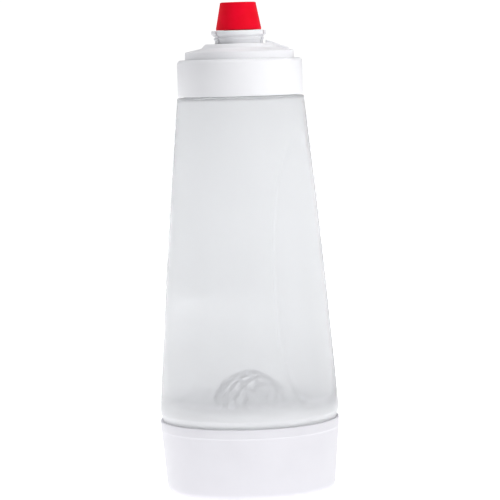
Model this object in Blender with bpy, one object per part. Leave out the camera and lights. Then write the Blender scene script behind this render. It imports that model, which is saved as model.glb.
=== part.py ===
"""A squeeze bottle for mixing and dispensing batter, with a wire whisk ball loose inside.

The bottle is a tapered, translucent shell with a finger grip on each side. A lid screws on its
top neck. The lid carries a spout, and a collar that screws on the spout lifts the silicone tip
off the plug that closes it. A base cup screws on the wide bottom neck, and its raised floor
carries the whisk ball.

Frame: metres, +Z up, origin on the floor on the bottle's axis, grips on +X and -X.
"""

import math

import bmesh
import bpy
from mathutils import Matrix, Vector

MM = 0.001

# Driving dimensions, in millimetres. Every other size below follows from these.
HEIGHT = 294.0  # floor to the top of the tip
BASE_R = 53.9  # widest radius, at the lip of the base cup
BODY_LOW_Z, BODY_LOW_R = 52.4, 53.7  # where the body's taper starts
BODY_TOP_Z, BODY_TOP_R = 236.0, 38.0  # where it ends, under the lid
BODY_CROWN = 0.75  # how far the taper bulges past a straight line
WALL = 1.6  # the bottle's wall, and the base cup's
GAP = 0.3  # between pieces that touch or slide on each other
BEND = 0.5  # small edge rounding

# Grips: an oval hollow on each side, wider below than above.
GRIP_Z = 134.0
GRIP_UP, GRIP_DOWN = 85.0, 84.0
GRIP_HALF_ANGLE = math.radians(36.0)
GRIP_EDGE, GRIP_SCOOP = 1.3, 2.7  # depth of the step at its edge, and of the scoop inside

# Bottle necks: the lid screws on the top one, the base cup on the bottom one.
TOP_NECK_R, TOP_NECK_INNER_R = 33.6, 31.8
TOP_SHOULDER_Z, TOP_RIM_Z = 237.8, 256.0
LOW_NECK_R, LOW_NECK_INNER_R = 46.8, 45.0
LOW_SHOULDER_Z, LOW_RIM_Z = 44.6, 28.6

# Screw threads: one turn of ridge on each piece, half a pitch apart.
NECK_PITCH, NECK_RIDGE = 5.0, 1.25
SPOUT_PITCH, SPOUT_RIDGE = 4.0, 0.85
TOP_THREAD_Z, LOW_THREAD_Z, SPOUT_THREAD_Z = 245.0, 32.5, 269.1

# Lid, from its skirt up to the spout.
LID_R, LID_BOTTOM_Z = 37.5, 238.4
LID_PLATE_Z, LID_PLATE = 260.3, 2.1
DECK_R, DECK_Z, DECK_UNDER_Z = 32.6, 264.8, 262.0
HUB_R, HUB_Z = 20.3, 269.4
WELL_R, WELL_Z = 15.2, 265.6
SPOUT_R, SPOUT_BORE_R, SPOUT_RIM_Z = 11.5, 9.6, 274.2
RIB_ANGLE, RIB_WIDTH = 34.0, 5.0  # a sloping rib beside the spout, in degrees from +X

# Collar and tip.
COLLAR_R, COLLAR_FLANGE_R, COLLAR_TOP_Z = 14.4, 16.4, 277.2
COLLAR_HOLE_R = 9.2
NOTCH_ANGLES = (249.0, 9.0, 129.0)  # degrees from +X, for the three grip notches
TIP_LOW_R, TIP_TOP_R = 13.6, 10.6
OUTLET_R, PLUG_R = 3.2, 2.9

# Base cup and its threaded liner.
BASE_RIM_Z, BASE_LIP_Z = 44.3, 38.0
BASE_FOOT_R, BASE_CORNER = 45.0, 5.8
LINER_R, FLOOR_Z, FLOOR = 49.7, 25.0, 2.0

# Whisk ball: one wire wound on a sphere.
BALL_R, WIRE_R, BALL_TURNS = 24.0, 1.25, 7
BALL_AXIS = Vector((-0.212, -0.936, 0.28))  # the coil's axis as the ball lies

SEGMENTS = 40  # around the large pieces
SMALL_SEGMENTS = 24  # around the spout, collar and tip

MATERIALS = {
    "translucent": ((0.80, 0.81, 0.83), 0.45, 0.0, 0.45),
    "white_lid": ((0.88, 0.88, 0.90), 0.30, 0.0, 1.0),
    "white_base": ((0.81, 0.80, 0.85), 0.42, 0.0, 1.0),
    "red_silicone": ((0.78, 0.01, 0.03), 0.38, 0.0, 1.0),
    "seal_silicone": ((0.72, 0.73, 0.75), 0.55, 0.0, 1.0),
    "steel": ((0.60, 0.60, 0.62), 0.28, 1.0, 1.0),
}


def clear_scene():
    for obj in list(bpy.data.objects):
        bpy.data.objects.remove(obj, do_unlink=True)


def material(name):
    """The Principled material of that name, made the first time it is asked for."""
    found = bpy.data.materials.get(name)
    if found:
        return found
    colour, roughness, metallic, alpha = MATERIALS[name]
    made = bpy.data.materials.new(name)
    made.use_nodes = True
    shader = made.node_tree.nodes["Principled BSDF"]
    shader.inputs["Base Color"].default_value = (*colour, 1.0)
    shader.inputs["Roughness"].default_value = roughness
    shader.inputs["Metallic"].default_value = metallic
    shader.inputs["Alpha"].default_value = alpha
    return made


def object_from(bm, name, material_name=None):
    """Turns a bmesh drawn in millimetres into an object of the scene, in metres."""
    bmesh.ops.scale(bm, vec=(MM, MM, MM), verts=bm.verts)
    bmesh.ops.recalc_face_normals(bm, faces=bm.faces)
    mesh = bpy.data.meshes.new(name)
    bm.to_mesh(mesh)
    bm.free()
    mesh.shade_smooth()
    mesh.set_sharp_from_angle(angle=math.radians(35))
    obj = bpy.data.objects.new(name, mesh)
    bpy.context.scene.collection.objects.link(obj)
    if material_name:
        mesh.materials.append(material(material_name))
    return obj


def arc(centre, radius, start, end, steps):
    """Outline points on an arc, from angle start to end in degrees, 0 pointing outwards."""
    points = []
    for i in range(steps + 1):
        angle = math.radians(start + (end - start) * i / steps)
        points.append((centre[0] + radius * math.cos(angle), centre[1] + radius * math.sin(angle)))
    return points


def spun(outline, segments):
    """A bmesh of the outline's (radius, height) points spun round Z. An outline that starts and
    ends on the axis is left open there, and any other is a closed loop."""
    bm = bmesh.new()
    verts = [bm.verts.new((r, 0.0, z)) for r, z in outline]
    edges = [bm.edges.new(pair) for pair in zip(verts, verts[1:])]
    if outline[0][0] > 0:
        edges.append(bm.edges.new((verts[-1], verts[0])))
    bmesh.ops.spin(
        bm, geom=verts + edges, cent=(0, 0, 0), axis=(0, 0, 1),
        angle=math.tau, steps=segments, use_merge=True,
    )
    bmesh.ops.remove_doubles(bm, verts=bm.verts, dist=1e-4)
    return bm


def turned(name, outline, material_name, segments=SEGMENTS):
    return object_from(spun(outline, segments), name, material_name)


def ridge(name, wall_r, height, start_z, pitch, segments, turns=1.0):
    """A right-hand thread ridge to be joined to a wall of radius wall_r. A positive height
    stands outwards and a negative one inwards. Each end dives into the wall."""
    bm = bmesh.new()
    side = math.copysign(1.0, height)
    half_root, half_crest = 0.24 * pitch, 0.13 * pitch
    steps = round(segments * turns)
    lead = steps // 12
    rings = []
    for i in range(steps + 1):
        angle = math.tau * i / segments
        z = start_z + pitch * i / segments
        rise = min(1.0, min(i, steps - i) / lead)
        crest_r = wall_r - 0.25 * side + (height + 0.25 * side) * rise
        root_r = wall_r - 0.6 * side
        ring = []
        for radius, offset in (
            (root_r, -half_root), (crest_r, -half_crest), (crest_r, half_crest), (root_r, half_root)
        ):
            corner = (radius * math.cos(angle), radius * math.sin(angle), z + offset)
            ring.append(bm.verts.new(corner))
        rings.append(ring)
    for low, high in zip(rings, rings[1:]):
        for k in range(4):
            bm.faces.new((low[k], low[(k + 1) % 4], high[(k + 1) % 4], high[k]))
    bm.faces.new(rings[0])
    bm.faces.new(rings[-1])
    return object_from(bm, name)


def combine(obj, tool, operation):
    """Joins the tool to the object, or cuts it away, and keeps the tool out of the render."""
    tool.hide_render = True
    tool.display_type = "WIRE"
    modifier = obj.modifiers.new(tool.name, "BOOLEAN")
    modifier.operation = operation
    modifier.solver = "EXACT"
    modifier.object = tool


def body_radius(z):
    """Outer radius of the bottle's taper at height z."""
    share = (z - BODY_LOW_Z) / (BODY_TOP_Z - BODY_LOW_Z)
    straight = BODY_LOW_R + (BODY_TOP_R - BODY_LOW_R) * share
    return straight + BODY_CROWN * math.sin(math.pi * share)


def grip_depth(x, y, z):
    """How far the wall is pressed in at a point. The hollow is an oval, squarer at its foot."""
    angle = math.atan2(abs(y), abs(x))
    across = angle / GRIP_HALF_ANGLE
    if z > GRIP_Z:
        along, power = (z - GRIP_Z) / GRIP_UP, 2.0
    else:
        along, power = (GRIP_Z - z) / GRIP_DOWN, 3.0
    rho = (across**power + along**power) ** (1 / power)
    if rho >= 1:
        return 0.0
    edge = min(1.0, (1 - rho) / 0.14)
    return GRIP_EDGE * edge * edge * (3 - 2 * edge) + GRIP_SCOOP * (1 - rho * rho)


def make_bottle():
    rows = 8
    heights = [BODY_LOW_Z + (BODY_TOP_Z - BODY_LOW_Z) * i / rows for i in range(rows + 1)]
    outside = [(body_radius(z), z) for z in heights]
    inside = [(r - WALL, z) for r, z in reversed(outside)]
    outline = [
        (LOW_NECK_INNER_R, LOW_RIM_Z),
        (LOW_NECK_R, LOW_RIM_Z),
        (LOW_NECK_R, LOW_SHOULDER_Z),
        (BODY_LOW_R - 1.3, LOW_SHOULDER_Z),
        *arc((BODY_LOW_R - 7.0, BODY_LOW_Z), 7.0, -35, -12, 2),
        *outside,
        *arc((BODY_TOP_R - 1.4, TOP_SHOULDER_Z - 1.4), 1.4, 30, 90, 2),
        (TOP_NECK_R, TOP_SHOULDER_Z),
        (TOP_NECK_R, TOP_RIM_Z - BEND),
        (TOP_NECK_R - BEND, TOP_RIM_Z),
        (TOP_NECK_INNER_R, TOP_RIM_Z),
        (TOP_NECK_INNER_R, TOP_SHOULDER_Z + 0.8),
        (TOP_NECK_INNER_R + 2.4, TOP_SHOULDER_Z - 1.6),
        *inside,
        *arc((BODY_LOW_R - 7.0, BODY_LOW_Z), 7.0 - WALL, -14, -50, 2),
        (LOW_NECK_INNER_R + 0.6, LOW_SHOULDER_Z + 1.9),
        (LOW_NECK_INNER_R, LOW_SHOULDER_Z + 1.0),
    ]
    bm = spun(outline, SEGMENTS)
    for vert in bm.verts:
        radius = vert.co.xy.length
        depth = grip_depth(*vert.co)
        vert.co.xy *= (radius - depth) / radius
    bottle = object_from(bm, "bottle_shell", "translucent")
    top = ridge("top_neck_thread", TOP_NECK_R, NECK_RIDGE, TOP_THREAD_Z, NECK_PITCH, SEGMENTS)
    low = ridge("low_neck_thread", LOW_NECK_R, NECK_RIDGE, LOW_THREAD_Z, NECK_PITCH, SEGMENTS)
    combine(bottle, top, "UNION")
    combine(bottle, low, "UNION")


def make_lid_rib():
    """The rib that slopes from beside the spout down to the edge of the deck."""
    slope = [
        (WELL_R + 0.7, DECK_Z - 0.8),
        (DECK_R - 2.0, DECK_Z - 0.8),
        (DECK_R - 3.2, DECK_Z + 1.9),
        (WELL_R + 0.7, HUB_Z + 2.1),
    ]
    bm = bmesh.new()
    sides = []
    for y in (-RIB_WIDTH / 2, RIB_WIDTH / 2):
        sides.append([bm.verts.new((r, y, z)) for r, z in slope])
        bm.faces.new(sides[-1])
    for k in range(4):
        low, high = sides
        bm.faces.new((low[k], low[(k + 1) % 4], high[(k + 1) % 4], high[k]))
    turn = Matrix.Rotation(math.radians(RIB_ANGLE), 3, "Z")
    bmesh.ops.rotate(bm, cent=(0, 0, 0), matrix=turn, verts=bm.verts)
    return object_from(bm, "lid_rib")


def make_lid():
    skirt_inner_r = TOP_NECK_R + NECK_RIDGE + GAP + 0.05
    plate_under_z = LID_PLATE_Z - LID_PLATE
    lid = turned(
        "lid_cap",
        [
            (skirt_inner_r, LID_BOTTOM_Z),
            (LID_R - BEND, LID_BOTTOM_Z),
            (LID_R, LID_BOTTOM_Z + BEND),
            *arc((LID_R - 2.4, LID_PLATE_Z - 1.7), 1.7, 0, 90, 3),
            (DECK_R, LID_PLATE_Z),
            (DECK_R, DECK_Z - BEND),
            (DECK_R - BEND, DECK_Z),
            (HUB_R + 2.2, DECK_Z + 2.2),
            (HUB_R + 0.4, HUB_Z - BEND),
            (HUB_R - BEND, HUB_Z),
            (WELL_R, HUB_Z),
            (WELL_R, WELL_Z),
            (SPOUT_R, WELL_Z),
            (SPOUT_R, SPOUT_RIM_Z),
            (SPOUT_BORE_R, SPOUT_RIM_Z),
            (SPOUT_BORE_R, DECK_UNDER_Z),
            (DECK_R - 1.9, DECK_UNDER_Z),
            (DECK_R - 1.9, plate_under_z),
            (skirt_inner_r, plate_under_z),
        ],
        "white_lid",
    )
    skirt_thread = ridge(
        "lid_thread", skirt_inner_r, -NECK_RIDGE, TOP_THREAD_Z - NECK_PITCH / 2, NECK_PITCH, SEGMENTS
    )
    spout_thread = ridge(
        "spout_thread", SPOUT_R, SPOUT_RIDGE, SPOUT_THREAD_Z, SPOUT_PITCH, SMALL_SEGMENTS
    )
    combine(lid, skirt_thread, "UNION")
    combine(lid, spout_thread, "UNION")
    combine(lid, make_lid_rib(), "UNION")
    turned(
        "lid_seal",
        [
            (TOP_NECK_INNER_R - 0.4, TOP_RIM_Z + GAP),
            (skirt_inner_r - GAP, TOP_RIM_Z + GAP),
            (skirt_inner_r - GAP, plate_under_z - GAP),
            (TOP_NECK_INNER_R - 0.4, plate_under_z - GAP),
        ],
        "seal_silicone",
    )


def make_flow_plug():
    """A post on three spokes, pressed into the spout from below. Its head closes the tip."""
    hub_r, flange_z = SPOUT_BORE_R - GAP, DECK_UNDER_Z - GAP
    floor_z, ring_inner_r = flange_z - 1.5, hub_r - 1.6
    plug = turned(
        "flow_plug",
        [
            (ring_inner_r, floor_z),
            (hub_r + 3.2, floor_z),
            (hub_r + 3.2, flange_z),
            (hub_r, flange_z),
            (hub_r, flange_z + 4.2),
            (ring_inner_r, flange_z + 4.2),
        ],
        "white_lid",
        SMALL_SEGMENTS,
    )
    head_z = HEIGHT - 0.6
    post = turned(
        "plug_post",
        [
            (0.0, floor_z),
            (PLUG_R + 0.6, floor_z),
            (PLUG_R + 0.6, head_z - 8.4),
            (PLUG_R, head_z - 5.4),
            (PLUG_R, head_z - 0.8),
            (PLUG_R - 0.8, head_z),
            (0.0, head_z),
        ],
        None,
        24,
    )
    bm = bmesh.new()
    spoke_height = 2.6
    for i in range(3):
        spoke = bmesh.ops.create_cube(bm, size=1.0)["verts"]
        bmesh.ops.scale(bm, vec=(ring_inner_r - 1.2, 1.8, spoke_height), verts=spoke)
        middle = ((ring_inner_r + 1.9) / 2, 0, floor_z + 0.4 + spoke_height / 2)
        bmesh.ops.translate(bm, vec=middle, verts=spoke)
        turn = Matrix.Rotation(math.tau * i / 3, 3, "Z")
        bmesh.ops.rotate(bm, cent=(0, 0, 0), matrix=turn, verts=spoke)
    spokes = object_from(bm, "plug_spokes")
    combine(plug, spokes, "UNION")
    combine(plug, post, "UNION")


def make_collar():
    inner_r = SPOUT_R + SPOUT_RIDGE + GAP + 0.05
    plate_under_z = COLLAR_TOP_Z - 1.4
    flange_under_z = COLLAR_TOP_Z - 3.2
    collar = turned(
        "tip_collar",
        [
            (inner_r, WELL_Z + 0.4),
            (COLLAR_R, WELL_Z + 0.4),
            (COLLAR_R, COLLAR_TOP_Z - 6.1),
            *arc((COLLAR_R, COLLAR_TOP_Z - 4.9), 0.7, -60, 60, 3),
            (COLLAR_R, flange_under_z - 0.6),
            (COLLAR_FLANGE_R - 0.4, flange_under_z + 0.4),
            (COLLAR_FLANGE_R, flange_under_z + 1.0),
            (COLLAR_FLANGE_R, COLLAR_TOP_Z - BEND),
            (COLLAR_FLANGE_R - BEND, COLLAR_TOP_Z),
            (COLLAR_HOLE_R, COLLAR_TOP_Z),
            (COLLAR_HOLE_R, plate_under_z),
            (inner_r, plate_under_z),
        ],
        "white_lid",
        SMALL_SEGMENTS,
    )
    thread = ridge(
        "collar_thread", inner_r, -SPOUT_RIDGE, SPOUT_THREAD_Z - SPOUT_PITCH / 2, SPOUT_PITCH,
        SMALL_SEGMENTS,
    )
    combine(collar, thread, "UNION")
    bm = bmesh.new()
    for angle in NOTCH_ANGLES:
        notch = bmesh.ops.create_cube(bm, size=1.0)["verts"]
        bmesh.ops.scale(bm, vec=(6.0, 1.9, 20.0), verts=notch)
        bmesh.ops.translate(bm, vec=(COLLAR_R - 1.0 + 3.0, 0, COLLAR_TOP_Z - 5.0), verts=notch)
        turn = Matrix.Rotation(math.radians(angle), 3, "Z")
        bmesh.ops.rotate(bm, cent=(0, 0, 0), matrix=turn, verts=notch)
    combine(collar, object_from(bm, "collar_notches"), "DIFFERENCE")


def make_tip():
    """The silicone tip. Its waist sits in the collar's hole, and its sleeve slides in the spout."""
    sleeve_r, bore_r = SPOUT_BORE_R - GAP, SPOUT_BORE_R - GAP - 1.5
    flange_z = SPOUT_RIM_Z + GAP
    flange_top_z = COLLAR_TOP_Z - 1.4 - GAP
    cone_z = COLLAR_TOP_Z + GAP
    turned(
        "silicone_tip",
        [
            (bore_r, SPOUT_RIM_Z - 5.7),
            (sleeve_r, SPOUT_RIM_Z - 5.7),
            (sleeve_r, flange_z),
            (SPOUT_R - GAP, flange_z),
            (SPOUT_R - GAP, flange_top_z),
            (COLLAR_HOLE_R - GAP, flange_top_z),
            (COLLAR_HOLE_R - GAP, cone_z),
            (TIP_LOW_R - 0.4, cone_z),
            (TIP_LOW_R, cone_z + 0.5),
            *arc((TIP_TOP_R - 0.7, HEIGHT - 0.8), 0.8, 10, 90, 3),
            (OUTLET_R + 0.3, HEIGHT),
            (OUTLET_R, HEIGHT - 0.3),
            (OUTLET_R, HEIGHT - 2.4),
            (5.4, HEIGHT - 3.2),
            (bore_r, cone_z + 2.0),
        ],
        "red_silicone",
        SMALL_SEGMENTS,
    )


def make_base():
    lip_r = BASE_R - 0.55
    inner_top_r = lip_r - WALL + 0.25
    corner_z = BASE_CORNER
    wall_low_r = BASE_FOOT_R + BASE_CORNER
    turned(
        "base_shell",
        [
            (0.0, 1.0),
            (BASE_FOOT_R - 7.9, 1.0),
            (BASE_FOOT_R - 6.9, 0.0),
            *arc((BASE_FOOT_R, corner_z), BASE_CORNER, -90, -5, 6),
            (lip_r, BASE_LIP_Z),
            (BASE_R - 0.1, BASE_LIP_Z + 0.7),
            (BASE_R, BASE_RIM_Z - 2.6),
            *arc((BASE_R - 1.5, BASE_RIM_Z - 1.5), 1.5, 20, 90, 3),
            (inner_top_r, BASE_RIM_Z),
            (lip_r - WALL, BASE_LIP_Z),
            (wall_low_r - WALL, corner_z + 0.5),
            (BASE_FOOT_R, 3.0),
            (0.0, 3.0),
        ],
        "white_base",
    )
    liner_inner_r = LOW_NECK_R + NECK_RIDGE + GAP + 0.05
    seat_z = LOW_RIM_Z - 2.3
    under_z = FLOOR_Z - FLOOR
    support_r = 30.0
    liner = turned(
        "base_liner",
        [
            (0.0, FLOOR_Z),
            (LOW_NECK_INNER_R - 2.2, FLOOR_Z),
            (LOW_NECK_INNER_R - 1.4, seat_z),
            (liner_inner_r, seat_z),
            (liner_inner_r, BASE_RIM_Z - 0.2),
            (inner_top_r - GAP, BASE_RIM_Z - 0.2),
            (inner_top_r - GAP, BASE_RIM_Z - 1.8),
            (LINER_R, BASE_RIM_Z - 2.8),
            (LINER_R, FLOOR_Z),
            (LINER_R - 1.5, under_z),
            (support_r, under_z),
            (support_r, 3.0 + GAP),
            (support_r - WALL, 3.0 + GAP),
            (support_r - WALL, under_z),
            (0.0, under_z),
        ],
        "white_base",
    )
    thread = ridge(
        "liner_thread", liner_inner_r, -NECK_RIDGE, LOW_THREAD_Z + NECK_PITCH / 2, NECK_PITCH,
        SEGMENTS,
    )
    combine(liner, thread, "UNION")
    turned(
        "base_seal",
        [
            (LOW_NECK_INNER_R - 0.8, seat_z + GAP),
            (liner_inner_r - GAP, seat_z + GAP),
            (liner_inner_r - GAP, LOW_RIM_Z - GAP),
            (LOW_NECK_INNER_R - 0.8, LOW_RIM_Z - GAP),
        ],
        "seal_silicone",
    )


def coil_points():
    """The wire's centreline round its own Z axis: an even pitch over a sphere, with both ends
    curled in towards the axis."""
    sphere_r = BALL_R - WIRE_R
    reach = 0.945 * sphere_r
    steps = BALL_TURNS * 14
    points = []
    for i in range(steps + 1):
        z = reach * (2 * i / steps - 1)
        points.append((math.sqrt(sphere_r**2 - z**2), math.tau * BALL_TURNS * i / steps, z))
    curl = 6
    end_r, end_angle, end_z = points[-1]
    for i in range(1, curl + 1):
        share = i / curl
        radius = end_r * (1 - 0.45 * share)
        turn = math.tau / 2 * share
        points.append((radius, end_angle + turn, end_z - 0.6 * share))
        points.insert(0, (radius, -turn, -end_z + 0.6 * share))
    return [(r * math.cos(a), r * math.sin(a), z) for r, a, z in points]


def make_whisk_ball():
    curve = bpy.data.curves.new("whisk_ball", "CURVE")
    curve.dimensions = "3D"
    curve.bevel_depth = WIRE_R * MM
    curve.bevel_resolution = 1
    curve.use_fill_caps = True
    points = coil_points()
    spline = curve.splines.new("POLY")
    spline.points.add(len(points) - 1)
    for target, point in zip(spline.points, points):
        target.co = (*(Vector(point) * MM), 1.0)
    curve.materials.append(material("steel"))
    ball = bpy.data.objects.new("whisk_ball", curve)
    bpy.context.scene.collection.objects.link(ball)
    tilt = BALL_AXIS.to_track_quat("Z", "Y")
    lowest = min((tilt @ Vector(point)).z for point in points) - WIRE_R
    ball.location = (0, 0, (FLOOR_Z + GAP - lowest) * MM)
    ball.rotation_euler = tilt.to_euler()


def main():
    clear_scene()
    make_bottle()
    make_lid()
    make_flow_plug()
    make_collar()
    make_tip()
    make_base()
    make_whisk_ball()


main()
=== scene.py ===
"""The looks of a batter bottle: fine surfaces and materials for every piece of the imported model.

Each CAD node is replaced by a smoother piece in the same place. Outlines are in millimetres, as
(radius, height, rounding) corners, and are measured from the nodes' own boxes.
"""

import math

import bmesh
import bpy
from mathutils import Matrix, Vector


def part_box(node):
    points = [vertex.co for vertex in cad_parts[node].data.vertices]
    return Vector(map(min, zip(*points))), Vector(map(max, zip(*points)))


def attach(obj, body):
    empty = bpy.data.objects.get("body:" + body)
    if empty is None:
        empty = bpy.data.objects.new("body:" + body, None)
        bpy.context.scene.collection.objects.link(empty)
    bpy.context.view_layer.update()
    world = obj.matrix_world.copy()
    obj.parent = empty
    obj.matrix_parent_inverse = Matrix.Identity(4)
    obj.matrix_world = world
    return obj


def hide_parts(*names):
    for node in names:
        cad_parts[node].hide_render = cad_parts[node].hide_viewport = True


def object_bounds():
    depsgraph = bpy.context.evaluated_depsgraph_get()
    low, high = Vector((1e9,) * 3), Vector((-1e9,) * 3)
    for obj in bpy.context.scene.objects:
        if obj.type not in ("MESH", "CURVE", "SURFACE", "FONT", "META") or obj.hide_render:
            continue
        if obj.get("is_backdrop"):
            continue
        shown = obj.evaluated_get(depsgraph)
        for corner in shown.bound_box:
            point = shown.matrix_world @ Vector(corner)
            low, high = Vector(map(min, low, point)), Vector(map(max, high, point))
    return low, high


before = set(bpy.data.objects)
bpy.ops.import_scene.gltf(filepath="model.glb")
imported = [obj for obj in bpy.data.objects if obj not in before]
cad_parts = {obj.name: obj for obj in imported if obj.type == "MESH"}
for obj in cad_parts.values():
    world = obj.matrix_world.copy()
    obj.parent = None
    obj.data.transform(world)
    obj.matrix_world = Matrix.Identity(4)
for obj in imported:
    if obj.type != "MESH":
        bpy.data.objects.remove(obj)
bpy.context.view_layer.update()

MM = 0.001
VIEW = 34.0  # the camera's azimuth in degrees; +X points this far to the right of its picture
FINEST, FINE, SMALL, POST = 320, 192, 144, 64  # segments round a turned piece, by its size
ROW = 0.25  # height of a mesh row across a thread
WALL = 1.6
GAP = 0.3  # between pieces that fit in each other


def span(node):
    """Outer radius, lowest height and highest height of a CAD node, in millimetres."""
    low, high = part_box(node)
    return max(high.x, high.y) / MM, low.z / MM, high.z / MM


BODY_R, BODY_FOOT, BODY_RIM = span("bottle_shell")
LID_R, LID_FOOT, SPOUT_RIM = span("lid_cap")
COLLAR_R, COLLAR_FOOT, COLLAR_TOP = span("tip_collar")
TIP_R, TIP_FOOT, TIP_TOP = span("silicone_tip")
BASE_R, _, BASE_RIM = span("base_shell")
LINER_R, LINER_FOOT, LINER_RIM = span("base_liner")
PLUG_R, PLUG_FOOT, PLUG_TOP = span("flow_plug")
_, BALL_FOOT, _ = span("whisk_ball")

# The body's taper, and its two necks. The taper bulges by CROWN halfway up.
TAPER_LOW_Z, TAPER_LOW_R = BODY_FOOT + 23.8, BODY_R
TAPER_TOP_Z, TAPER_TOP_R = BODY_RIM - 20.0, LID_R + 0.5
CROWN = 0.75
TOP_NECK_R, TOP_BORE_R = LID_R - 3.9, LID_R - 5.7
LOW_NECK_R, LOW_BORE_R = BODY_R - 6.9, BODY_R - 8.7

# The grips: ovals on +X and -X, squarer below.
GRIP_Z = BODY_FOOT + 105.4
GRIP_UP, GRIP_DOWN = 85.0, 84.0
GRIP_HALF_ANGLE = math.radians(36.0)
GRIP_EDGE, GRIP_SCOOP = 1.3, 2.7
GRIP_BLEND = 0.08  # how much of the oval the step at its edge takes up

# Screw threads: one turn of right-hand ridge on each piece, half a pitch apart.
NECK_PITCH, NECK_RIDGE = 5.0, 1.25
SPOUT_PITCH, SPOUT_RIDGE = 4.0, 0.85
RIDGE_HALF, RIDGE_FLANK = 0.23, 0.11  # shares of the pitch
RUNNING = GAP + 0.05  # clearance between a ridge and the wall facing it
SPOUT_R, SPOUT_BORE_R = PLUG_R - 1.0, PLUG_R - 2.9
TOP_THREAD_Z = BODY_RIM - 11.0
LOW_THREAD_Z = BODY_FOOT + 3.9
SPOUT_THREAD_Z = SPOUT_RIM - 5.1


# Outlines and meshes


def rounded(corners, steps=5):
    """Points of a closed outline, with an arc in place of each corner that has a rounding."""
    points = []
    for i, (r, z, rounding) in enumerate(corners):
        here = Vector((r, z))
        if not rounding:
            points.append(here)
            continue
        back = Vector(corners[i - 1][:2]) - here
        ahead = Vector(corners[(i + 1) % len(corners)][:2]) - here
        half = back.angle(ahead) / 2
        reach = min(rounding / math.tan(half), 0.49 * back.length, 0.49 * ahead.length)
        radius = reach * math.tan(half)
        inward = (back.normalized() + ahead.normalized()).normalized()
        middle = here + inward * radius / math.sin(half)
        first = here + back.normalized() * reach - middle
        last = here + ahead.normalized() * reach - middle
        sweep = -first.angle_signed(last)
        for k in range(steps + 1):
            points.append(middle + Matrix.Rotation(sweep * k / steps, 2) @ first)
    return points


def rungs(r, start, end, row=ROW):
    """Corners of a plain wall of radius r in even rows, so that a thread can be raised on it."""
    count = max(2, round(abs(end - start) / row))
    return [(r, start + (end - start) * k / count, 0) for k in range(1, count)]


def smooth(x):
    """0 up to 0 and 1 from 1 on, with a soft step between."""
    x = min(1.0, max(0.0, x))
    return x * x * (3 - 2 * x)


def thread(wall_r, height, start_z, pitch):
    """A change of radius that raises one turn of ridge on the wall of radius wall_r. A positive
    height stands outwards and a negative one inwards."""
    same_wall = 0.02
    fade = 1 / 12  # of a turn, at each end

    def change(angle, r, z):
        if abs(r - wall_r) > same_wall:
            return 0.0
        turn = (angle / math.tau) % 1.0
        away = abs(z - start_z - pitch * turn)
        rise = smooth((RIDGE_HALF * pitch - away) / (RIDGE_FLANK * pitch))
        return height * rise * smooth(min(turn, 1 - turn) / fade)

    return change


def turned(name, points, segments=FINE, changes=()):
    """A piece turned from a closed outline round Z. Each change gives a shift of the radius at
    (angle, radius, height). An outline that touches the axis is closed there."""
    bm = bmesh.new()
    rings = []
    for i in range(segments):
        angle = math.tau * i / segments
        ring = []
        for r, z in points:
            radius = r + sum(change(angle, r, z) for change in changes)
            corner = (radius * math.cos(angle), radius * math.sin(angle), z)
            ring.append(bm.verts.new(corner))
        rings.append(ring)
    count = len(points)
    for i in range(segments):
        here, ahead = rings[i], rings[(i + 1) % segments]
        for j in range(count):
            k = (j + 1) % count
            if points[j][0] or points[k][0]:
                bm.faces.new((here[j], ahead[j], ahead[k], here[k]))
    bmesh.ops.remove_doubles(bm, verts=bm.verts, dist=1e-4)
    return piece_from(bm, name)


def piece_from(bm, name, angle=30):
    """Turns a bmesh drawn in millimetres into a smooth-shaded object of the scene, in metres."""
    bmesh.ops.scale(bm, vec=(MM, MM, MM), verts=bm.verts)
    bmesh.ops.recalc_face_normals(bm, faces=bm.faces)
    mesh = bpy.data.meshes.new(name)
    bm.to_mesh(mesh)
    bm.free()
    mesh.shade_smooth()
    mesh.set_sharp_from_angle(angle=math.radians(angle))
    obj = bpy.data.objects.new(name, mesh)
    bpy.context.scene.collection.objects.link(obj)
    return obj


def carve(obj, tool, operation):
    """Joins the tool to the piece, or cuts it away, and removes the tool."""
    modifier = obj.modifiers.new("carve", "BOOLEAN")
    modifier.operation = operation
    modifier.solver = "EXACT"
    modifier.object = tool
    graph = bpy.context.evaluated_depsgraph_get()
    mesh = bpy.data.meshes.new_from_object(obj.evaluated_get(graph))
    obj.modifiers.remove(modifier)
    obj.data = mesh
    mesh.set_sharp_from_angle(angle=math.radians(30))
    bpy.data.objects.remove(tool)


def block(name, size, middle, angle, bevel=0.25):
    """A small bevelled block, placed along +X and then turned round Z, to carve with."""
    bm = bmesh.new()
    verts = bmesh.ops.create_cube(bm, size=1.0)["verts"]
    bmesh.ops.scale(bm, vec=size, verts=verts)
    if bevel:
        bmesh.ops.bevel(bm, geom=bm.edges[:], offset=bevel, segments=3, affect="EDGES", profile=0.5)
    bmesh.ops.translate(bm, vec=middle, verts=bm.verts)
    turn = Matrix.Rotation(math.radians(angle), 3, "Z")
    bmesh.ops.rotate(bm, cent=(0, 0, 0), matrix=turn, verts=bm.verts)
    return piece_from(bm, name)


# Materials


def material(name, colour, roughness, **values):
    """A material with a Principled shader. Other sockets are given with _ for each space."""
    made = bpy.data.materials.new(name)
    made.use_nodes = True
    shader = made.node_tree.nodes["Principled BSDF"]
    shader.inputs["Base Color"].default_value = (*colour, 1.0)
    shader.inputs["Roughness"].default_value = roughness
    for socket, value in values.items():
        shader.inputs[socket.replace("_", " ")].default_value = value
    return made


def node(made, kind, **inputs):
    """Adds a node to a material and sets its sockets."""
    new = made.node_tree.nodes.new(kind)
    for socket, value in inputs.items():
        new.inputs[socket].default_value = value
    return new


def link(made, start, end):
    made.node_tree.links.new(start, end)


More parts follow.
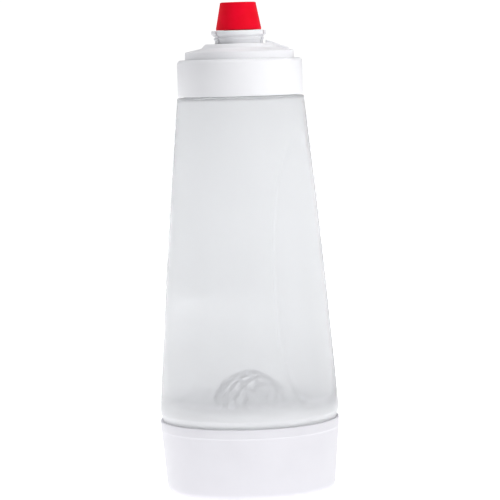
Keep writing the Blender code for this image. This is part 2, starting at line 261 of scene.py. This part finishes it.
def noise(made, scale, detail=3.0, stretch=(1, 1, 1)):
    """A noise texture fixed to the object, whose features are about 1 / scale metres across."""
    place = node(made, "ShaderNodeTexCoord")
    mapping = node(made, "ShaderNodeMapping", Scale=stretch)
    texture = node(made, "ShaderNodeTexNoise", Scale=scale, Detail=detail)
    link(made, place.outputs["Object"], mapping.inputs["Vector"])
    link(made, mapping.outputs["Vector"], texture.inputs["Vector"])
    return texture.outputs["Fac"]


def vary(made, factor, low, high, target):
    """Feeds a value between low and high, picked by the factor, into a socket."""
    scale = node(made, "ShaderNodeMapRange")
    scale.inputs["From Min"].default_value = 0.3
    scale.inputs["From Max"].default_value = 0.7
    scale.inputs["To Min"].default_value = low
    scale.inputs["To Max"].default_value = high
    link(made, factor, scale.inputs["Value"])
    link(made, scale.outputs["Result"], target)


def tint(made, factor, first, second, target):
    """Feeds a colour between two into a socket."""
    ramp = node(made, "ShaderNodeValToRGB")
    ramp.color_ramp.elements[0].position = 0.35
    ramp.color_ramp.elements[1].position = 0.65
    ramp.color_ramp.elements[0].color = (*first, 1.0)
    ramp.color_ramp.elements[1].color = (*second, 1.0)
    link(made, factor, ramp.inputs["Fac"])
    link(made, ramp.outputs["Color"], target)


def bump(made, heights, targets):
    """Adds fine relief: heights are (factor, distance in metres) pairs, laid one on another."""
    normal = None
    for factor, distance in heights:
        relief = node(made, "ShaderNodeBump", Strength=1.0, Distance=distance)
        link(made, factor, relief.inputs["Height"])
        if normal:
            link(made, normal, relief.inputs["Normal"])
        normal = relief.outputs["Normal"]
    for target in targets:
        link(made, normal, target)


def moulded_white(name, light, dark, roughness):
    """Injection-moulded polypropylene: a faint uneven tone, a fine grain and slow ripples."""
    made = material(name, light, roughness, Specular_IOR_Level=0.45, Subsurface_Weight=0.12)
    shader = made.node_tree.nodes["Principled BSDF"]
    shader.inputs["Subsurface Radius"].default_value = (0.004, 0.004, 0.004)
    shader.inputs["Subsurface Scale"].default_value = 0.5
    cloud, grain = noise(made, 45.0), noise(made, 2600.0)
    tint(made, cloud, dark, light, shader.inputs["Base Color"])
    vary(made, grain, roughness - 0.05, roughness + 0.07, shader.inputs["Roughness"])
    ripple = noise(made, 30.0, 1.0)
    bump(made, [(grain, 0.000012), (ripple, 0.00012)], [shader.inputs["Normal"]])
    return made


def frosted_plastic(name):
    """The bottle's wall: milky, see-through polyethylene with a frosted skin and slow ripples."""
    made = material(name, (0.97, 0.975, 0.98), 0.3, Transmission_Weight=1.0, IOR=1.25)
    nodes = made.node_tree.nodes
    clear = nodes["Principled BSDF"]
    clear.name = "clear"
    grain, ripple = noise(made, 1500.0), noise(made, 22.0, 2.0, (1, 1, 0.35))
    milk = node(made, "ShaderNodeBsdfTranslucent")
    milk.inputs["Color"].default_value = (0.95, 0.955, 0.965, 1.0)
    skin = node(made, "ShaderNodeBsdfPrincipled")
    skin.inputs["Base Color"].default_value = (0.91, 0.915, 0.93, 1.0)
    skin.inputs["Roughness"].default_value = 0.38
    body = node(made, "ShaderNodeMixShader")
    link(made, milk.outputs["BSDF"], body.inputs[1])
    link(made, skin.outputs["BSDF"], body.inputs[2])
    whole = node(made, "ShaderNodeMixShader")
    link(made, clear.outputs["BSDF"], whole.inputs[1])
    link(made, body.outputs["Shader"], whole.inputs[2])
    link(made, whole.outputs["Shader"], nodes["Material Output"].inputs["Surface"])
    place, split = node(made, "ShaderNodeTexCoord"), node(made, "ShaderNodeSeparateXYZ")
    link(made, place.outputs["Object"], split.inputs["Vector"])
    # The wall is milkier, and its skin denser, round the foot of the taper.
    ramps = ((whole, -4.0, 8.0, 0.93, 0.46), (body, -5.0, 14.0, 0.74, 0.5))
    for mix, low, high, most, least in ramps:
        depth = node(made, "ShaderNodeMapRange")
        depth.inputs["From Min"].default_value = (TAPER_LOW_Z + low) * MM
        depth.inputs["From Max"].default_value = (TAPER_LOW_Z + high) * MM
        depth.inputs["To Min"].default_value = most
        depth.inputs["To Max"].default_value = least
        depth.interpolation_type = "SMOOTHSTEP"
        link(made, split.outputs["Z"], depth.inputs["Value"])
        link(made, depth.outputs["Result"], mix.inputs["Fac"])
    vary(made, grain, 0.025, 0.045, clear.inputs["Roughness"])
    targets = [clear.inputs["Normal"], skin.inputs["Normal"], milk.inputs["Normal"]]
    bump(made, [(ripple, 0.00025)], targets)
    return made


def silicone(name, light, dark, roughness):
    """Moulded silicone: satin, with a dusting of fine specks."""
    made = material(name, light, roughness, Specular_IOR_Level=0.12, Subsurface_Weight=0.05)
    shader = made.node_tree.nodes["Principled BSDF"]
    shader.inputs["Subsurface Radius"].default_value = (0.004, 0.001, 0.001)
    shader.inputs["Subsurface Scale"].default_value = 0.4
    cloud, grain = noise(made, 110.0), noise(made, 2200.0, 5.0)
    tint(made, cloud, dark, light, shader.inputs["Base Color"])
    vary(made, grain, roughness - 0.06, roughness + 0.08, shader.inputs["Roughness"])
    bump(made, [(grain, 0.00002), (cloud, 0.00006)], [shader.inputs["Normal"]])
    return made


def drawn_steel(name):
    """Bright drawn wire, with faint drawing marks."""
    made = material(name, (0.6, 0.6, 0.62), 0.2, Metallic=1.0)
    shader = made.node_tree.nodes["Principled BSDF"]
    marks, cloud = noise(made, 1800.0, 4.0), noise(made, 160.0)
    tint(made, cloud, (0.54, 0.54, 0.56), (0.68, 0.68, 0.70), shader.inputs["Base Color"])
    vary(made, marks, 0.16, 0.34, shader.inputs["Roughness"])
    bump(made, [(marks, 0.00001)], [shader.inputs["Normal"]])
    return made


def finish_piece(piece, body, cad_node, look):
    """Gives the piece its material and body, and hides the CAD node that it replaces."""
    piece.data.materials.clear()
    piece.data.materials.append(look)
    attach(piece, body)
    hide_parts(cad_node)


# The bottle


def taper(z):
    """The body's outer radius at a height, outside the grips."""
    share = (z - TAPER_LOW_Z) / (TAPER_TOP_Z - TAPER_LOW_Z)
    straight = TAPER_LOW_R + (TAPER_TOP_R - TAPER_LOW_R) * share
    return straight + CROWN * math.sin(math.pi * min(1.0, max(0.0, share)))


def grip(angle, r, z):
    """The change of radius in the finger grips."""
    across = math.atan2(abs(math.sin(angle)), abs(math.cos(angle))) / GRIP_HALF_ANGLE
    if z > GRIP_Z:
        along, power = (z - GRIP_Z) / GRIP_UP, 2.0
    else:
        along, power = (GRIP_Z - z) / GRIP_DOWN, 3.0
    rho = (across**power + along**power) ** (1 / power)
    if rho >= 1:
        return 0.0
    return -GRIP_EDGE * smooth((1 - rho) / GRIP_BLEND) - GRIP_SCOOP * (1 - rho * rho)


def make_bottle():
    """The wall with its grips, shoulders and two threaded necks."""
    rows = 90
    heights = [TAPER_LOW_Z + (TAPER_TOP_Z - TAPER_LOW_Z) * i / rows for i in range(rows + 1)]
    outside = [(taper(z), z, 0) for z in heights]
    inside = [(r - WALL, z, 0) for r, z, _ in reversed(outside)]
    low_shoulder, top_shoulder = TAPER_LOW_Z - 8.08, TAPER_TOP_Z + 1.8
    corners = [
        (LOW_BORE_R, BODY_FOOT, 0.5),
        (LOW_NECK_R, BODY_FOOT, 0.6),
        *rungs(LOW_NECK_R, BODY_FOOT + 1.0, low_shoulder - 1.0),
        (LOW_NECK_R, low_shoulder, 0.8),
        (BODY_R - 1.3, low_shoulder, 0.05),
        (BODY_R - 1.2, low_shoulder + 1.5, 2.5),
        (TAPER_LOW_R - 0.05, low_shoulder + 4.2, 3.0),
        *outside,
        (TAPER_TOP_R - 0.05, top_shoulder, 1.3),
        (TOP_NECK_R, top_shoulder, 0.5),
        *rungs(TOP_NECK_R, top_shoulder + 0.8, BODY_RIM - 0.8),
        (TOP_NECK_R, BODY_RIM, 0.5),
        (TOP_BORE_R, BODY_RIM, 0.5),
        (TOP_BORE_R, top_shoulder + 0.8, 1.5),
        (TOP_BORE_R + 2.4, top_shoulder - 1.6, 1.5),
        *inside,
        (TAPER_LOW_R - 1.85, TAPER_LOW_Z - 2.0, 3.4),
        (BODY_R - 3.4, low_shoulder + 2.0, 2.0),
        (LOW_BORE_R + 0.6, low_shoulder + 1.9, 1.2),
        (LOW_BORE_R, low_shoulder + 1.0, 0.6),
    ]
    changes = [
        grip,
        thread(TOP_NECK_R, NECK_RIDGE, TOP_THREAD_Z, NECK_PITCH),
        thread(LOW_NECK_R, NECK_RIDGE, LOW_THREAD_Z, NECK_PITCH),
    ]
    bottle = turned("bottle_wall", rounded(corners), FINEST, changes)
    frosted = frosted_plastic("frosted plastic")
    finish_piece(bottle, "bottle", "bottle_shell", frosted)


# The lid and what it carries


def make_lid_rib():
    """The sloping rib beside the spout."""
    well_r, deck_r, deck_z = SPOUT_R + 3.7, LID_R - 4.9, SPOUT_RIM - 9.4
    slope = [
        (well_r + 0.7, deck_z - 0.8),
        (deck_r - 2.0, deck_z - 0.8),
        (deck_r - 3.2, deck_z + 1.9),
        (well_r + 0.7, SPOUT_RIM - 2.7),
    ]
    bm = bmesh.new()
    sides = [[bm.verts.new((r, y, z)) for r, z in slope] for y in (-2.5, 2.5)]
    for side in sides:
        bm.faces.new(side)
    for k in range(4):
        ahead = (k + 1) % 4
        bm.faces.new((sides[0][k], sides[0][ahead], sides[1][ahead], sides[1][k]))
    bmesh.ops.recalc_face_normals(bm, faces=bm.faces)
    bmesh.ops.bevel(bm, geom=bm.edges[:], offset=0.7, segments=4, affect="EDGES", profile=0.5)
    turn = Matrix.Rotation(math.radians(VIEW), 3, "Z")
    bmesh.ops.rotate(bm, cent=(0, 0, 0), matrix=turn, verts=bm.verts)
    return piece_from(bm, "lid_rib_wedge")


def make_lid(white):
    """The lid: a threaded skirt, a stepped and sloping deck, and the threaded spout in its well."""
    skirt_r = TOP_NECK_R + NECK_RIDGE + RUNNING
    plate_z = SPOUT_RIM - 13.9
    under_z = plate_z - 2.1
    deck_r, deck_z, deck_under = LID_R - 4.9, SPOUT_RIM - 9.4, SPOUT_RIM - 12.2
    hub_r, hub_z = LID_R - 17.2, SPOUT_RIM - 4.8
    well_r, well_z = SPOUT_R + 3.7, SPOUT_RIM - 8.6
    corners = [
        (skirt_r, LID_FOOT, 0.4),
        (LID_R, LID_FOOT, 0.7),
        (LID_R, plate_z, 2.6),
        (deck_r, plate_z, 0.35),
        (deck_r, deck_z, 0.7),
        (hub_r + 2.2, deck_z + 2.2, 1.2),
        (hub_r + 0.4, hub_z - 0.5, 0.5),
        (hub_r - 0.5, hub_z, 0.6),
        (well_r, hub_z, 0.5),
        (well_r, well_z, 0.4),
        (SPOUT_R, well_z, 0.3),
        *rungs(SPOUT_R, well_z + 0.5, SPOUT_RIM - 0.4, 0.2),
        (SPOUT_R, SPOUT_RIM, 0.3),
        (SPOUT_BORE_R, SPOUT_RIM, 0.3),
        (SPOUT_BORE_R, deck_under, 0.3),
        (deck_r - 1.9, deck_under, 0.5),
        (deck_r - 1.9, under_z, 0.3),
        (skirt_r, under_z, 0.4),
        *rungs(skirt_r, under_z - 0.6, LID_FOOT + 0.6),
    ]
    changes = [
        thread(SPOUT_R, SPOUT_RIDGE, SPOUT_THREAD_Z, SPOUT_PITCH),
        thread(skirt_r, -NECK_RIDGE, TOP_THREAD_Z - NECK_PITCH / 2, NECK_PITCH),
    ]
    lid = turned("lid_moulding", rounded(corners), FINE, changes)
    carve(lid, make_lid_rib(), "UNION")
    finish_piece(lid, "lid", "lid_cap", white)


def make_plug(white):
    """The flow plug: a ring in the spout, three spokes and a post that closes the tip."""
    ring_r, flange_z = SPOUT_BORE_R - GAP, PLUG_FOOT + 1.5
    ring_bore = ring_r - 1.6
    corners = [
        (ring_bore, PLUG_FOOT, 0.3),
        (PLUG_R, PLUG_FOOT, 0.3),
        (PLUG_R, flange_z, 0.3),
        (ring_r, flange_z, 0.2),
        (ring_r, flange_z + 4.2, 0.4),
        (ring_bore, flange_z + 4.2, 0.4),
    ]
    plug = turned("plug_moulding", rounded(corners), SMALL)
    post = [
        (0, PLUG_FOOT, 0),
        (3.5, PLUG_FOOT, 0.4),
        (3.5, PLUG_TOP - 8.4, 1.5),
        (2.9, PLUG_TOP - 5.4, 1.5),
        (2.9, PLUG_TOP, 0.8),
        (0, PLUG_TOP, 0),
    ]
    spokes, spoke_size = 3, (ring_bore - 1.2, 1.8, 2.6)
    middle = ((ring_bore + 1.9) / 2, 0, PLUG_FOOT + 1.7)
    for i in range(spokes):
        carve(plug, block("spoke", spoke_size, middle, 360 / spokes * i), "UNION")
    carve(plug, turned("plug_post", rounded(post), POST), "UNION")
    finish_piece(plug, "lid", "flow_plug", white)


def make_collar(white):
    """The collar that holds the tip: a bead, a flange and three notches round a threaded bore."""
    wall_r = COLLAR_R - 2.0
    bore_r = SPOUT_R + SPOUT_RIDGE + RUNNING
    plate_under, flange_under = COLLAR_TOP - 1.4, COLLAR_TOP - 3.2
    hole_r = SPOUT_BORE_R - 0.4
    corners = [
        (bore_r, COLLAR_FOOT, 0.3),
        (wall_r, COLLAR_FOOT, 0.4),
        (wall_r, COLLAR_TOP - 5.9, 0.3),
        (wall_r + 0.7, COLLAR_TOP - 5.3, 0.5),
        (wall_r + 0.7, COLLAR_TOP - 4.5, 0.5),
        (wall_r, COLLAR_TOP - 4.0, 0.2),
        (wall_r, flange_under - 0.5, 0.2),
        (COLLAR_R - 0.2, flange_under + 0.5, 0.4),
        (COLLAR_R, flange_under + 1.2, 0.3),
        (COLLAR_R, COLLAR_TOP, 0.6),
        (hole_r, COLLAR_TOP, 0.4),
        (hole_r, plate_under, 0.3),
        (bore_r, plate_under, 0.4),
        *rungs(bore_r, plate_under - 0.5, COLLAR_FOOT + 0.4, 0.2),
    ]
    changes = [thread(bore_r, -SPOUT_RIDGE, SPOUT_THREAD_Z - SPOUT_PITCH / 2, SPOUT_PITCH)]
    collar = turned("collar_ring", rounded(corners), SMALL, changes)
    notch_size, notch_middle = (6.0, 1.9, 20.0), (wall_r + 2.0, 0, COLLAR_TOP - 5.0)
    for angle in (249.0, 9.0, 129.0):
        carve(collar, block("notch", notch_size, notch_middle, angle, 0.2), "DIFFERENCE")
    finish_piece(collar, "collar", "tip_collar", white)


def make_tip():
    """The red cone, with a sleeve in the spout and a flange held under the collar's top."""
    sleeve_r, bore_r = SPOUT_BORE_R - GAP, SPOUT_BORE_R - GAP - 1.5
    flange_z, flange_top = SPOUT_RIM + GAP, COLLAR_TOP - 1.4 - GAP
    waist_r, cone_z, top_r = SPOUT_BORE_R - 0.7, COLLAR_TOP + GAP, TIP_R - 3.0
    outlet_r = 3.2
    corners = [
        (bore_r, TIP_FOOT, 0.3),
        (sleeve_r, TIP_FOOT, 0.5),
        (sleeve_r, flange_z, 0.2),
        (SPOUT_R - GAP, flange_z, 0.3),
        (SPOUT_R - GAP, flange_top, 0.3),
        (waist_r, flange_top, 0.2),
        (waist_r, cone_z, 0.2),
        (TIP_R - 0.15, cone_z, 0.35),
        (TIP_R, cone_z + 0.8, 0.5),
        (top_r, TIP_TOP, 0.7),
        (outlet_r, TIP_TOP, 0.35),
        (outlet_r, TIP_TOP - 2.4, 0.3),
        (5.4, TIP_TOP - 3.2, 0.8),
        (bore_r, cone_z + 2.0, 1.0),
    ]
    tip = turned("tip_cone", rounded(corners, 7), SMALL)
    red = silicone("red silicone", (0.78, 0.0, 0.02), (0.72, 0.0, 0.012), 0.5)
    finish_piece(tip, "tip", "silicone_tip", red)


def make_seal(name, cad_node, body, look):
    """A flat ring with rounded edges."""
    outer_r, low, high = span(cad_node)
    inner_r = outer_r - 3.45
    corners = [
        (inner_r, low, 0.3),
        (outer_r, low, 0.3),
        (outer_r, high, 0.3),
        (inner_r, high, 0.3),
    ]
    seal = turned(name, rounded(corners), FINE)
    finish_piece(seal, body, cad_node, look)


# The base


def make_base_shell(white):
    """The outer cup, with a hollow under its foot and a lip round its rim."""
    lip_r, lip_z, corner = BASE_R - 0.35, BASE_RIM - 6.3, 5.8
    foot_r = BASE_R - 8.9
    corners = [
        (0, 1.0, 0),
        (foot_r - 7.9, 1.0, 0.6),
        (foot_r - 6.9, 0, 0.5),
        (foot_r + corner - 0.3, 0, corner),
        (lip_r, lip_z, 0.3),
        (BASE_R - 0.1, lip_z + 0.8, 0.6),
        (BASE_R, BASE_RIM, 0.7),
        (lip_r - WALL, BASE_RIM, 0.15),
        (lip_r - WALL, lip_z, 0.4),
        (foot_r + corner - WALL, corner + 0.5, 4.0),
        (foot_r, 3.0, 2.0),
        (0, 3.0, 0),
    ]
    shell = turned("base_cup", rounded(corners, 9), FINE)
    finish_piece(shell, "base", "base_shell", white)


def make_base_liner(white):
    """The inner cup: a threaded bore, a seat for the seal and a raised floor on a round wall."""
    bore_r = LOW_NECK_R + NECK_RIDGE + RUNNING
    seat_z, floor_z = BODY_FOOT - 2.3, BODY_FOOT - 3.6
    under_z, wall_r, support_r = floor_z - 2.0, bore_r + 1.3, 30.0
    corners = [
        (0, floor_z, 0),
        (LOW_BORE_R - 2.2, floor_z, 0.8),
        (LOW_BORE_R - 1.4, seat_z, 0.4),
        (bore_r, seat_z, 0.4),
        *rungs(bore_r, seat_z + 0.5, LINER_RIM - 0.6),
        (bore_r, LINER_RIM, 0.4),
        (LINER_R, LINER_RIM, 0.4),
        (LINER_R, LINER_RIM - 1.6, 0.4),
        (wall_r, LINER_RIM - 2.6, 0.5),
        (wall_r, floor_z, 1.0),
        (wall_r - 1.5, under_z, 1.0),
        (support_r, under_z, 0.5),
        (support_r, LINER_FOOT, 0.3),
        (support_r - WALL, LINER_FOOT, 0.3),
        (support_r - WALL, under_z, 0.5),
        (0, under_z, 0),
    ]
    changes = [thread(bore_r, -NECK_RIDGE, LOW_THREAD_Z + NECK_PITCH / 2, NECK_PITCH)]
    liner = turned("threaded_liner", rounded(corners), FINE, changes)
    finish_piece(liner, "base", "base_liner", white)


# The whisk ball


def make_ball():
    """One wire wound on a sphere, with both ends curled in. Its axis tips towards the camera."""
    wire_r, radius, turns, turn_steps = 1.25, 24.0, 7, 40
    axis = Vector((-0.212, -0.936, 0.28))
    sphere_r = radius - wire_r
    reach = 0.945 * sphere_r  # of the winding along the axis, each way
    steps = turns * turn_steps
    points = []
    for i in range(steps + 1):
        z = reach * (2 * i / steps - 1)
        points.append((math.sqrt(sphere_r**2 - z**2), math.tau * turns * i / steps, z))
    curl_steps, curl_in, curl_sink = 18, 0.45, 0.6
    end_r, end_angle, end_z = points[-1]
    for i in range(1, curl_steps + 1):
        share = i / curl_steps
        r = end_r * (1 - curl_in * share)
        points.append((r, end_angle + math.pi * share, end_z - curl_sink * share))
        points.insert(0, (r, -math.pi * share, -end_z + curl_sink * share))
    curve = bpy.data.curves.new("wire_ball", "CURVE")
    curve.dimensions = "3D"
    curve.bevel_depth = wire_r * MM
    curve.bevel_resolution = 6
    curve.use_fill_caps = True
    spline = curve.splines.new("POLY")
    spline.points.add(len(points) - 1)
    tilt = axis.to_track_quat("Z", "Y")
    lifted = [tilt @ Vector((r * math.cos(a), r * math.sin(a), z)) for r, a, z in points]
    lowest = min(point.z for point in lifted) - wire_r
    for target, point in zip(spline.points, lifted):
        target.co = (point.x * MM, point.y * MM, (point.z - lowest + BALL_FOOT) * MM, 1.0)
    ball = bpy.data.objects.new("wire_ball", curve)
    bpy.context.scene.collection.objects.link(ball)
    finish_piece(ball, "ball", "whisk_ball", drawn_steel("drawn steel"))


# The studio


def make_stage():
    """A wide pale floor, lit evenly."""
    bm = bmesh.new()
    bmesh.ops.create_circle(bm, cap_ends=True, segments=96, radius=9000.0)
    floor = piece_from(bm, "floor")
    pale = material("pale floor", (0.93, 0.93, 0.94), 0.8, Specular_IOR_Level=0.1)
    shader = pale.node_tree.nodes["Principled BSDF"]
    shader.inputs["Emission Color"].default_value = (1, 1, 1, 1)
    shader.inputs["Emission Strength"].default_value = 0.71
    floor.data.materials.append(pale)
    floor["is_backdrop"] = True


def make_world():
    """White all round. The backdrop that the camera sees is a little brighter than its light."""
    world = bpy.data.worlds.new("studio")
    bpy.context.scene.world = world
    world.use_nodes = True
    tree = world.node_tree
    tree.nodes.clear()
    path = tree.nodes.new("ShaderNodeLightPath")
    seen, light = tree.nodes.new("ShaderNodeBackground"), tree.nodes.new("ShaderNodeBackground")
    seen.inputs["Color"].default_value = (1, 1, 1, 1)
    seen.inputs["Strength"].default_value = 1.05
    light.inputs["Color"].default_value = (0.97, 0.98, 1.0, 1)
    light.inputs["Strength"].default_value = 0.37
    mix = tree.nodes.new("ShaderNodeMixShader")
    output = tree.nodes.new("ShaderNodeOutputWorld")
    either = tree.nodes.new("ShaderNodeMath")
    either.operation = "MAXIMUM"
    tree.links.new(path.outputs["Is Camera Ray"], either.inputs[0])
    tree.links.new(path.outputs["Is Transmission Ray"], either.inputs[1])
    tree.links.new(either.outputs["Value"], mix.inputs["Fac"])
    tree.links.new(light.outputs["Background"], mix.inputs[1])
    tree.links.new(seen.outputs["Background"], mix.inputs[2])
    tree.links.new(mix.outputs["Shader"], output.inputs["Surface"])


def make_light(name, azimuth, distance, height, aim, size, power, spread=180.0, shine=False):
    """A soft rectangular light, in metres and watts. It stands at an azimuth in degrees from the
    camera's, and points at the height aim on the bottle's axis. Only with shine does it show in
    reflections and through the wall."""
    data = bpy.data.lights.new(name, "AREA")
    data.shape = "RECTANGLE"
    data.size, data.size_y = size
    data.energy = power
    data.spread = math.radians(spread)
    lamp = bpy.data.objects.new(name, data)
    turn = math.radians(VIEW + azimuth)
    lamp.location = (distance * math.sin(turn), -distance * math.cos(turn), height)
    look = Vector((0, 0, aim)) - lamp.location
    lamp.rotation_euler = look.to_track_quat("-Z", "Y").to_euler()
    lamp.visible_camera = False
    lamp.visible_glossy = lamp.visible_transmission = shine
    bpy.context.scene.collection.objects.link(lamp)


def make_lights():
    """The key lights the lid, the fill lights the ball, and the rest shape the wall."""
    make_light("key", 55, 0.7, 0.42, 0.3, (0.3, 0.3), 0.14, 34.0)
    make_light("back", -165, 1.2, 0.15, 0.15, (0.5, 0.6), 3.0)
    make_light("top", 0, 0.05, 1.05, 0.26, (0.4, 0.4), 3.4)
    make_light("fill", 26, 1.2, 0.48, 0.05, (0.2, 0.4), 0.026, 12.0, True)
    make_light("left side", -125, 1.2, 0.165, 0.165, (0.15, 0.15), 0.075, 18.0)
    make_light("right side", 80, 1.2, 0.155, 0.155, (0.15, 0.15), 0.0145, 10.0)


def make_camera():
    """A long lens at the height of the lid, with the bottle leaning a little to the left."""
    low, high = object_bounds()
    azimuth, distance, height = math.radians(VIEW), 1.5, 0.264
    right, down, lean = 0.0030, 0.0016, 1.66
    beside = Vector((math.cos(azimuth), math.sin(azimuth), 0)) * right
    target = Vector((0, 0, (low.z + high.z) / 2 - down)) + beside
    place = Vector((distance * math.sin(azimuth), -distance * math.cos(azimuth), height)) + beside
    look = (target - place).to_track_quat("-Z", "Y")
    roll = Matrix.Rotation(math.radians(-lean), 3, "Z").to_quaternion()
    data = bpy.data.cameras.new("camera")
    data.sensor_width = 36.0
    data.lens = 180.0
    camera = bpy.data.objects.new("camera", data)
    camera.location = place
    camera.rotation_euler = (look @ roll).to_euler()
    bpy.context.scene.collection.objects.link(camera)
    bpy.context.scene.camera = camera


def main():
    white = moulded_white("white lid plastic", (0.80, 0.80, 0.82), (0.78, 0.78, 0.80), 0.34)
    base_white = moulded_white("white base plastic", (0.83, 0.82, 0.86), (0.81, 0.80, 0.84), 0.4)
    grey = silicone("grey silicone", (0.72, 0.73, 0.75), (0.68, 0.69, 0.71), 0.5)
    make_bottle()
    make_lid(white)
    make_plug(white)
    make_collar(white)
    make_tip()
    make_seal("lid_gasket", "lid_seal", "top_seal", grey)
    make_seal("base_gasket", "base_seal", "bottom_seal", grey)
    make_base_shell(base_white)
    make_base_liner(base_white)
    make_ball()
    make_stage()
    make_world()
    make_lights()
    make_camera()
    bpy.context.scene.view_settings.view_transform = "Standard"


main()
